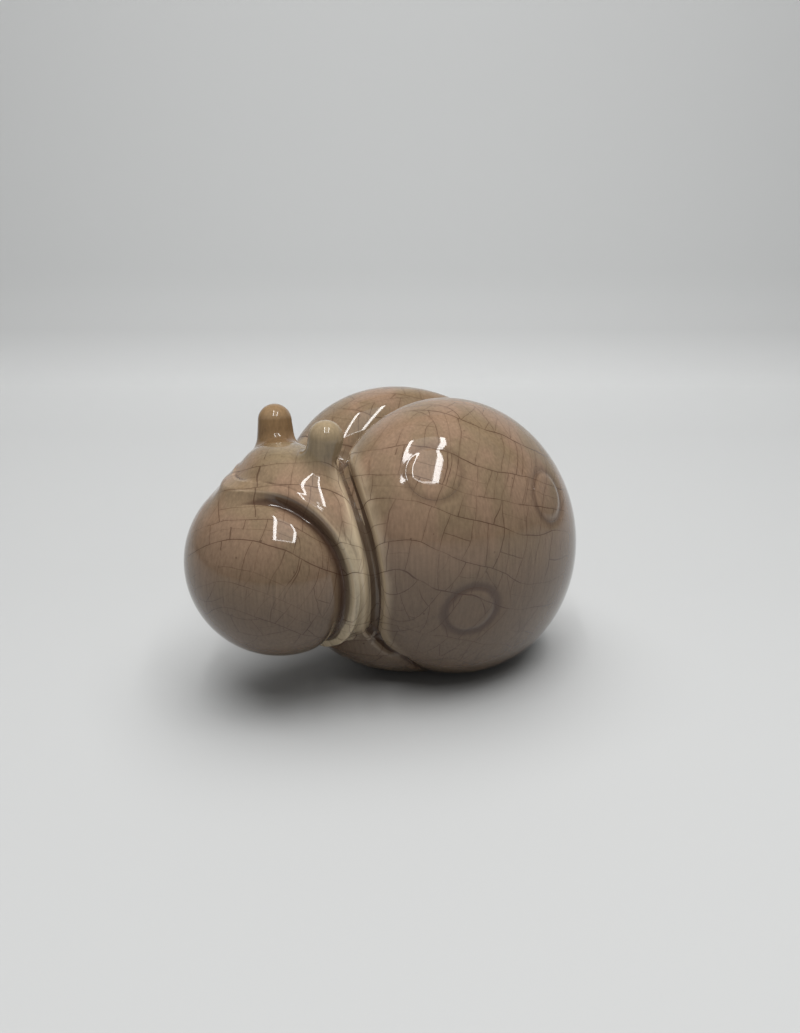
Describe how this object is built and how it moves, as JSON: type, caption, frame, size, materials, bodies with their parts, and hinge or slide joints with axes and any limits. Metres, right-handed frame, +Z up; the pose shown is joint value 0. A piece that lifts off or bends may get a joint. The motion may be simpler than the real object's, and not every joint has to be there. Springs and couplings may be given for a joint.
{
  "type": "ladybug figurine",
  "caption": "Rounded ladybug ornament in brown crackle-glazed ceramic: ball head under a hooded collar with stub antennae, wing cases with ringed spots, flat foot.",
  "frame": {"origin": "on the table, under the middle of the figurine's box", "axes": "+Z up; the head looks along -Y; the animal's left side is +X"},
  "size_m": [0.1226, 0.1698, 0.1184],
  "materials": {
    "brown_glaze": "glossy brown crackle glaze",
    "khaki_glaze": "glossy khaki crackle glaze, worn pale on edges"
  },
  "bodies": {
    "root": {"belly_dish": "brown_glaze", "collar": "khaki_glaze", "head": "brown_glaze", "left_antenna": "khaki_glaze", "right_antenna": "khaki_glaze", "left_wing_case": "brown_glaze", "left_front_spot": "brown_glaze", "left_side_spot": "brown_glaze", "left_rear_spot": "brown_glaze", "right_wing_case": "brown_glaze", "right_front_spot": "brown_glaze", "right_side_spot": "brown_glaze", "right_rear_spot": "brown_glaze"}
  },
  "joints": []
}
